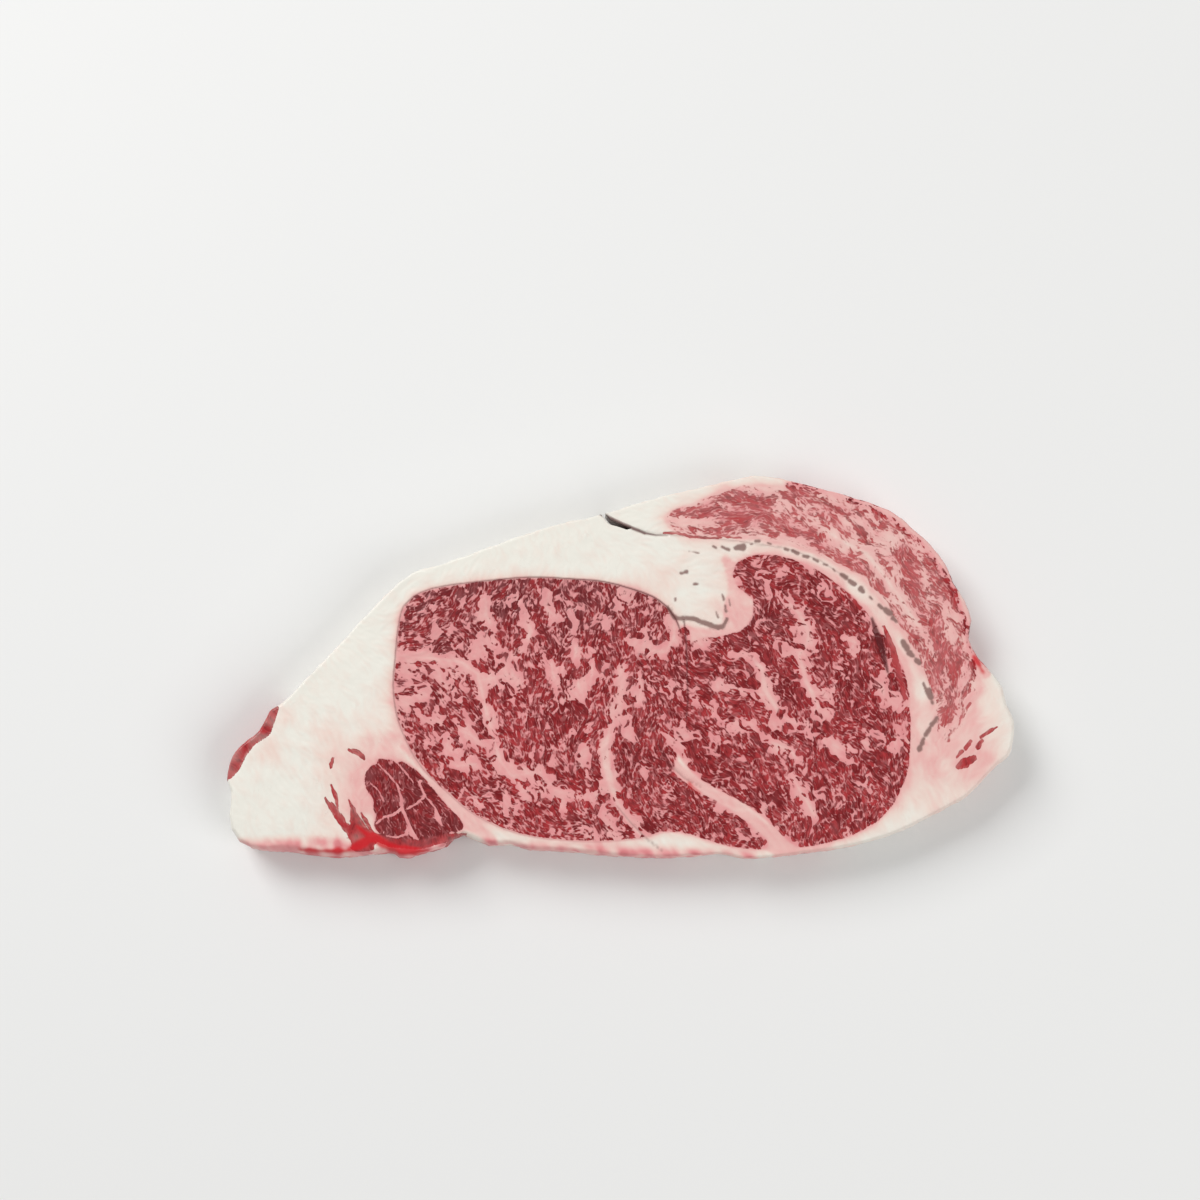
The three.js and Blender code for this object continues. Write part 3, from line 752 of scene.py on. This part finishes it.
class Steak:
    """All vertices of the steak, the faces of each piece, and the fields at the vertices."""

    def __init__(self):
        self.layout = Layout()
        self.outline = self.layout.outline
        self.depths = {name: loop_distance(loop[::2]) for name, loop in self.layout.loops.items()}
        first, last = self.layout.strip_range
        strip = np.concatenate([self.outline[first : last + 1], self.layout.strip_seam])
        self.depths[SIDE_STRIP] = loop_distance(strip)
        self.depths["outline"] = loop_distance(self.outline[::2])
        self.fields = face_fields(self.depths)
        self.heights = top_heights()
        self.from_slit = -stroke([(x, y, 0) for x, y, width in SLIT])
        clear = rise(self.from_slit, 1.0, 4.0)
        self.inset = FACE_INSET * (0.25 + 0.75 * clear)
        self.rim_start = 0.3 + (spread(RIM, 2, 3.0, 4.0) - 0.3) * clear
        self.rim_depth = 0.4 + (spread(RIM, 3, 3.0, 4.0) - 0.4) * clear
        self.points = []
        self.at = []
        self.count = 0
        self.faces = {name: [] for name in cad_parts}
        self.rings = self.add_side()
        self.upper = self.add_face(self.rings[-1], True)
        self.lower = self.add_face(self.rings[0], False)
        self.add_walls()

    def add_points(self, points, at):
        """Adds vertices, with the places where they read the face's fields."""
        self.points.append(points)
        self.at.append(at)
        self.count += len(points)
        return np.arange(self.count - len(points), self.count)

    def face_height(self, places, gap, upper):
        """The height of a cut face at places a gap in from the side."""
        relief = sample(self.fields["relief"], *places.T) * rise(gap, 0.5, 3.0)
        if upper:
            start = sample(self.rim_start, *places.T)
            depth = sample(self.rim_depth, *places.T)
            flat = sample(self.heights, *places.T) - SINK
            return flat + relief - rounding(gap, start, depth)
        return np.clip(SINK + 0.5 * relief, 0, 0.3) * rise(gap, 0.5, 3.0) + rounding(gap, *FOOT)

    def edge_rings(self, outward, shares, upper):
        """How far in, and how high, the rings lie that round a cut face's edge."""
        edge = sample(self.inset, *self.outline.T)
        for share in shares:
            inset = share * edge
            yield inset, self.face_height(self.outline - inset[:, None] * outward, inset, upper)

    def add_side(self):
        """Rings of vertices up the rounded side, and the side faces between them."""
        outward = smoothed_normals(self.outline)
        along = np.stack([-outward[:, 1], outward[:, 0]], axis=1)
        zero = np.zeros(len(self.outline))
        low = self.face_height(self.outline, zero, False)
        high = self.face_height(self.outline, zero, True)
        levels = list(self.edge_rings(outward, (1.0, 0.45, 0.15, 0.03), False))
        levels += [(zero, low + share * (high - low)) for share in np.linspace(0, 1, SIDE_RINGS)]
        levels += self.edge_rings(outward, (0.03, 0.15, 0.45, 1.0), True)
        clear = sample(rise(self.from_slit, 0.6, 3.0), *self.outline.T)
        # Near the slit the side reads the fields at its own place, so its walls take the slit's painted
        # shade
        hug = sample(rise(self.from_slit, 1.0, 5.0), *self.outline.T)
        first, last = self.layout.strip_range
        hug[first : last + 1] *= 0.15
        rings = []
        for number, (inset, height) in enumerate(levels):
            points = np.column_stack([self.outline - inset[:, None] * outward, height])
            free = min(number, len(levels) - 1 - number) / 4
            rough = 0.24 * wave_noise(points, 5.5, 61) + 0.13 * wave_noise(points, 2.0, 62) - 0.3
            shift = min(free, 1) * clear * np.clip(rough, -0.9, 0)
            deep = 1.3 + 0.6 * wave_noise(points, 6.0, 63)
            aside = np.clip(1.6 * wave_noise(points, 5.0, 64), -1.6, 1.6)
            at = points[:, :2] - (hug * deep)[:, None] * outward + (hug * aside)[:, None] * along
            points[:, :2] += shift[:, None] * outward
            rings.append(self.add_points(points, at))
        for low_ring, high_ring in zip(rings, rings[1:]):
            for i in range(len(self.outline)):
                k = (i + 1) % len(self.outline)
                name = SIDE_STRIP if first <= i < last else CASE
                a, b, c, d = low_ring[i], low_ring[k], high_ring[k], high_ring[i]
                self.faces[name] += [(a, b, c), (a, c, d)]
        return rings

    def add_face(self, ring, upper):
        """One cut face, triangulated with the curves between the pieces kept as edges."""
        ring_points = np.concatenate(self.points)[ring][:, :2]
        names = [CASE, *self.layout.loops, SIDE_STRIP]
        parts = [ring_points, *self.layout.loops.values(), self.layout.strip_seam]
        starts = np.cumsum([0] + [len(part) for part in parts])
        first, last = self.layout.strip_range
        loops = [list(range(a, b)) for a, b in zip(starts, starts[1:])]
        seam = loops[-1]
        loops[-1] = list(range(first, last + 1)) + seam
        places = np.concatenate([*parts, self.inner_points(ring_points, upper)])
        result = delaunay_2d_cdt([Vector(p) for p in places], [], loops, 1, 1e-6, True)
        triangles = np.array(result[2])
        origin = np.array([ids[0] for ids in result[3]])
        owners = np.array([max(ids, default=-1) for ids in result[5]])
        new = places[len(ring) :]
        gap = np.minimum(sample(self.depths["outline"], *new.T), 8.0)
        close = gap < 6
        gap[close] = gap_to(new[close], self.outline)[0]
        rest = self.add_points(np.column_stack([new, self.face_height(new, gap, upper)]), new)
        index = np.concatenate([ring, rest])
        triangles = index[origin[triangles]]
        if not upper:
            triangles = triangles[:, ::-1]
        for number, name in enumerate(names):
            self.faces[name] += triangles[owners == number].tolist()
        rims = {name: index[loop] for name, loop in zip(names, loops)}
        rims[SIDE_STRIP] = index[seam]
        return rims

    def inner_points(self, ring_points, upper):
        """Points in a honeycomb pattern, close together where the face is marbled."""
        borders = [np.abs(depth) for name, depth in self.depths.items() if name != "outline"]
        edge = np.min([loop_distance(ring_points[::2]), *borders], axis=0)
        busy = np.max([self.depths[name] for name in [*MUSCLES, SIDE_STRIP, GRISTLE]], axis=0)
        marks = [SEAM_MEAT, SLIT_END, *LEAN_STRIPS, *GRISTLE_FLECKS]
        busy = np.max([busy, strokes(marks), self.rim_start - self.depths["outline"]], axis=0)
        fine = MARBLED_STEP if upper else UNDERSIDE_STEP
        found = []
        for step, wanted in ((fine, True), (PLAIN_STEP, False)):
            row_step = step * math.sqrt(3) / 2
            y, x = np.mgrid[-GRID_HALF[1] : GRID_HALF[1] : row_step, -GRID_HALF[0] : GRID_HALF[0] : step]
            x = x + 0.5 * step * (np.arange(len(x)) % 2)[:, None]
            x = x.ravel()
            y = y.ravel()
            keep = (sample(edge, x, y) > 0.55 * step) & ((sample(busy, x, y) > -0.8) == wanted)
            found.append(np.column_stack([x, y])[keep])
        return np.concatenate(found)

    def add_walls(self):
        """The hidden walls between the pieces."""
        for name in [*MUSCLES, GRISTLE, SIDE_STRIP]:
            low = self.lower[name]
            high = self.upper[name]
            walls = []
            for i in range(len(low) if name != SIDE_STRIP else len(low) - 1):
                k = (i + 1) % len(low)
                walls += [(low[i], low[k], high[k]), (low[i], high[k], high[i])]
            if name == SIDE_STRIP:
                first, last = self.layout.strip_range
                walls += self.wall_end([ring[last] for ring in self.rings], low[0], high[0])
                end = self.wall_end([ring[first] for ring in self.rings], low[-1], high[-1])
                walls += [wall[::-1] for wall in end]
            self.faces[name] += walls
            self.faces[CASE] += [wall[::-1] for wall in walls]

    def wall_end(self, column, low, high):
        """The part of a wall between a column of ring vertices and one long edge."""
        middle = len(column) // 2
        walls = [(column[k + 1], column[k], low) for k in range(middle)]
        walls.append((column[middle], low, high))
        walls += [(column[k + 1], column[k], high) for k in range(middle, len(column) - 1)]
        return walls

    def piece(self, name):
        """A closed mesh object for one node, with the fields as attributes."""
        used, faces = np.unique(np.array(self.faces[name]), return_inverse=True)
        faces = faces.reshape(-1, 3)
        mesh = bpy.data.meshes.new(name + "_dressed")
        corners = np.concatenate(self.points)[used] * MM
        mesh.from_pydata(corners.tolist(), [], faces.tolist())
        mesh.shade_smooth()
        places = np.concatenate(self.at)[used]
        for field, values in self.fields.items():
            if field != "relief":
                attribute = mesh.attributes.new(field, "FLOAT", "POINT")
                attribute.data.foreach_set("value", sample(values, *places.T))
        mesh.set_sharp_from_angle(angle=math.radians(50))
        return add_object(name + "_dressed", mesh)


def smoothed_normals(loop):
    """The loop's outward normals, averaged over a stretch of its length."""
    count = round(NORMAL_REACH / OUTLINE_STEP)
    normals = normals_of(loop)
    weights = np.hanning(2 * count + 3)[1:-1]
    total = sum(w * np.roll(normals, k - count, axis=0) for k, w in enumerate(weights))
    return total / np.linalg.norm(total, axis=1)[:, None]


# Materials


class Nodes:
    """Short ways to add and join shader nodes."""

    def __init__(self, name):
        self.material = bpy.data.materials.new(name)
        self.material.use_nodes = True
        self.tree = self.material.node_tree
        self.tree.nodes.clear()

    def add(self, kind, **settings):
        node = self.tree.nodes.new(kind)
        for key, value in settings.items():
            setattr(node, key, value)
        return node

    def join(self, source, target):
        self.tree.links.new(source, target)

    def field(self, name):
        return self.add("ShaderNodeAttribute", attribute_name=name).outputs["Fac"]

    def texture(self, kind, scale):
        """A texture that reads the place in the row frame."""
        node = self.add(kind)
        node.inputs["Scale"].default_value = scale
        place = self.add("ShaderNodeNewGeometry")
        self.join(place.outputs["Position"], node.inputs["Vector"])
        return node

    def noise(self, scale, detail):
        node = self.texture("ShaderNodeTexNoise", scale)
        node.inputs["Detail"].default_value = detail
        node.inputs["Roughness"].default_value = 0.6
        return node.outputs["Fac"]

    def grain(self, scale, waves):
        """Streaks along the fibre bundles, about zero."""
        turn = self.math("ARCTAN2", self.field("along_y"), self.field("along_x"))
        node = self.texture("ShaderNodeTexGabor", scale)
        node.inputs["Frequency"].default_value = waves
        self.join(self.scaled(turn, 0.5, 0.5 * math.pi), node.inputs[4])
        return self.math("SUBTRACT", node.outputs["Value"], 0.5)

    def fill(self, socket, value):
        """Sets a socket to a number or a colour, or joins it to another one."""
        if isinstance(value, (int, float)):
            socket.default_value = value
        elif isinstance(value, list):
            socket.default_value = (*value, 1.0)
        else:
            self.join(value, socket)

    def ramp(self, value, stops):
        node = self.add("ShaderNodeValToRGB")
        band = node.color_ramp
        while len(band.elements) < len(stops):
            band.elements.new(0.5)
        for element, (place, colour) in zip(band.elements, stops):
            element.position = place
            element.color = (*colour, 1.0)
        self.join(value, node.inputs["Fac"])
        return node.outputs["Color"]

    def math(self, operation, *values):
        node = self.add("ShaderNodeMath", operation=operation)
        for socket, value in zip(node.inputs, values):
            self.fill(socket, value)
        return node.outputs[0]

    def scaled(self, value, factor, plus):
        return self.math("MULTIPLY_ADD", value, factor, plus)

    def step(self, value, low, high):
        node = self.add("ShaderNodeMapRange", interpolation_type="SMOOTHSTEP")
        node.inputs["From Min"].default_value = low
        node.inputs["From Max"].default_value = high
        self.join(value, node.inputs["Value"])
        return node.outputs["Result"]

    def mix(self, share, first, second):
        node = self.add("ShaderNodeMix", data_type="RGBA")
        sockets = (node.inputs["Factor"], node.inputs[6], node.inputs[7])
        for socket, value in zip(sockets, (share, first, second)):
            self.fill(socket, value)
        return node.outputs[2]

    def surface(self, values):
        """The material, with a shader whose sockets hold these values."""
        shader = self.add("ShaderNodeBsdfPrincipled")
        for name, value in values.items():
            self.fill(shader.inputs[name], value)
        output = self.add("ShaderNodeOutputMaterial")
        self.join(shader.outputs["BSDF"], output.inputs["Surface"])
        return self.material


# The fat's colours from white to the pink inside a muscle, by tint
FAT_TINTS = [
    (0.0, srgb(236, 233, 223)),
    (0.3, srgb(236, 214, 203)),
    (0.55, srgb(234, 189, 182)),
    (0.8, srgb(229, 154, 154)),
    (1.0, srgb(214, 126, 129)),
]
BRIGHT_LEAN = srgb(176, 50, 54)
DEEP_LEAN = srgb(112, 8, 15)
DULL_LEAN = srgb(98, 34, 38)
DULL_FAT = srgb(206, 140, 140)
GRISTLE_GREY = srgb(134, 100, 94)
STAIN_RED = srgb(204, 16, 30)
# The dark overlay: the eye muscle's skin and dark lines, with painted shade in the slits and creases
SKIN_AND_SHADE_DARK = srgb(84, 20, 24)
# What lies over fat and lean alike, with painted shade in the slits and creases among it: its field, how
# well it covers, and its colour
OVERLAYS = [("wet", 0.88, STAIN_RED), ("grey", 0.9, GRISTLE_GREY), ("dark", 0.85, SKIN_AND_SHADE_DARK)]


def flesh_material(name, gloss):
    """Fat and lean told apart by the fields, with fine grain, a moist coat and low bumps."""
    n = Nodes(name)
    bundles = n.grain(420.0, 1.0)
    ridges = n.math("ABSOLUTE", bundles)
    threads = n.grain(1000.0, 1.2)
    loose = n.noise(420.0, 1.0)
    cloud = n.noise(160.0, 4.0)
    pores = n.noise(2600.0, 2.0)
    signed = n.scaled(ridges, 0.6, n.math("SUBTRACT", n.field("lean"), 0.06))
    signed = n.scaled(threads, 0.3, signed)
    lean = n.step(signed, -0.12, 0.15)
    between = n.scaled(loose, -0.9, n.scaled(threads, 0.6, 0.35))
    between = n.scaled(ridges, 3.0, between)
    line = n.math("MULTIPLY", n.step(between, 0.05, -0.07), n.field("lines"))
    line = n.math("MULTIPLY", line, n.step(n.field("lean"), 1.1, 0.45))
    line = n.math("ADD", line, n.field("pale"))
    tint = n.scaled(cloud, 0.24, n.math("SUBTRACT", n.field("tint"), 0.12))
    fat = n.ramp(n.scaled(bundles, -0.15, tint), FAT_TINTS)
    deep = n.scaled(threads, 0.8, n.field("deep"))
    deep = n.scaled(n.step(signed, 0.35, 0.0), 0.32, deep)
    deep = n.scaled(n.step(bundles, -0.03, 0.03), 0.22, deep)
    red = n.mix(n.step(deep, -0.1, 1.3), BRIGHT_LEAN, DEEP_LEAN)
    dull = n.math("MULTIPLY", n.field("dull"), 0.7)
    red = n.mix(dull, red, DULL_LEAN)
    fat = n.mix(n.math("MULTIPLY", dull, 0.5), fat, DULL_FAT)
    colour = n.mix(lean, fat, n.mix(line, red, fat))
    # Stains, gristle, and the dark overlay that holds painted shade in the slits and creases
    for field, share, paint in OVERLAYS:
        colour = n.mix(n.math("MULTIPLY", n.field(field), share), colour, paint)
    bump = n.add("ShaderNodeBump")
    bump.inputs["Strength"].default_value = 0.5
    bump.inputs["Distance"].default_value = 0.00026
    n.join(n.scaled(lean, -0.5, n.scaled(pores, 0.35, bundles)), bump.inputs["Height"])
    return n.surface({
        "Base Color": colour,
        "Roughness": n.scaled(lean, -0.06, n.scaled(cloud, 0.25, 0.30)),
        "IOR": 1.38,
        "Specular IOR Level": gloss,
        "Coat Weight": 0.2,
        "Coat Roughness": 0.14,
        "Normal": bump.outputs["Normal"],
        "Coat Normal": bump.outputs["Normal"],
    })


def floor_material():
    return Nodes("pale_floor").surface({"Base Color": [0.83, 0.83, 0.82], "Roughness": 0.9})


# Setting


def add_object(name, data):
    thing = bpy.data.objects.new(name, data)
    bpy.context.scene.collection.objects.link(thing)
    return thing


def make_floor():
    mesh = bpy.data.meshes.new("floor")
    signs = ((-1, -1), (1, -1), (1, 1), (-1, 1))
    corners = [(FLOOR_HALF * x, FLOOR_HALF * y, 0) for x, y in signs]
    mesh.from_pydata(corners, [], [(0, 1, 2, 3)])
    mesh.materials.append(floor_material())
    floor = add_object("floor", mesh)
    floor.location.z = -0.0002


def make_light(name, place, size, power):
    light = bpy.data.lights.new(name, "AREA")
    light.shape = "SQUARE"
    light.size = size
    light.energy = power
    lamp = add_object(name, light)
    lamp.location = place
    lamp.rotation_mode = "QUATERNION"
    lamp.rotation_quaternion = Vector(place).to_track_quat("Z", "Y")


def make_world():
    world = bpy.data.worlds.new("studio")
    world.use_nodes = True
    background = world.node_tree.nodes["Background"]
    background.inputs["Color"].default_value = (1.0, 1.0, 1.0, 1)
    background.inputs["Strength"].default_value = 0.35
    bpy.context.scene.world = world


def make_camera():
    camera = bpy.data.cameras.new("camera")
    camera.sensor_width = SENSOR_MM
    camera.lens = FOCAL_PIXELS / (2 * PHOTO_MIDDLE) * SENSOR_MM
    camera.clip_start = 0.01
    view = add_object("camera", camera)
    away = Vector((0, -math.sin(PHOTO_TILT), math.cos(PHOTO_TILT)))
    view.location = (Vector((*AIM, FACE_HEIGHT)) + PHOTO_DISTANCE * away) * MM
    view.rotation_euler = (PHOTO_TILT, 0, 0)
    bpy.context.scene.camera = view


GLOSS = {
    "fat": 0.35, "eye_muscle": 0.4, "inner_cap_muscle": 0.4, "outer_cap_muscle": 0.4,
    "flank_muscle": 0.45, "flank_sliver": 0.45, "edge_sliver": 0.45, "gristle_strap": 0.35,
}

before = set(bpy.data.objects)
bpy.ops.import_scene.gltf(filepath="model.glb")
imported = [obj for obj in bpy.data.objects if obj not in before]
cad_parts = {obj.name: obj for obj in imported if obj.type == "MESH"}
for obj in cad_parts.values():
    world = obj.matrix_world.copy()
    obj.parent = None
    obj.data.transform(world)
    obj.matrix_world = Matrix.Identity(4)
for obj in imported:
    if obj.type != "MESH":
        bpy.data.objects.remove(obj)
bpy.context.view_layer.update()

steak = Steak()
for node, gloss in GLOSS.items():
    piece = steak.piece(node)
    piece.data.materials.append(flesh_material(node + "_flesh", gloss))
    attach(piece, "root")
    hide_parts(node)

make_floor()
make_light("key", (-1.0, 1.1, 1.2), 1.0, 26.0)
make_light("fill", (1.2, -0.7, 1.2), 1.2, 14.0)
make_world()
make_camera()
bpy.context.scene.view_settings.view_transform = "Standard"
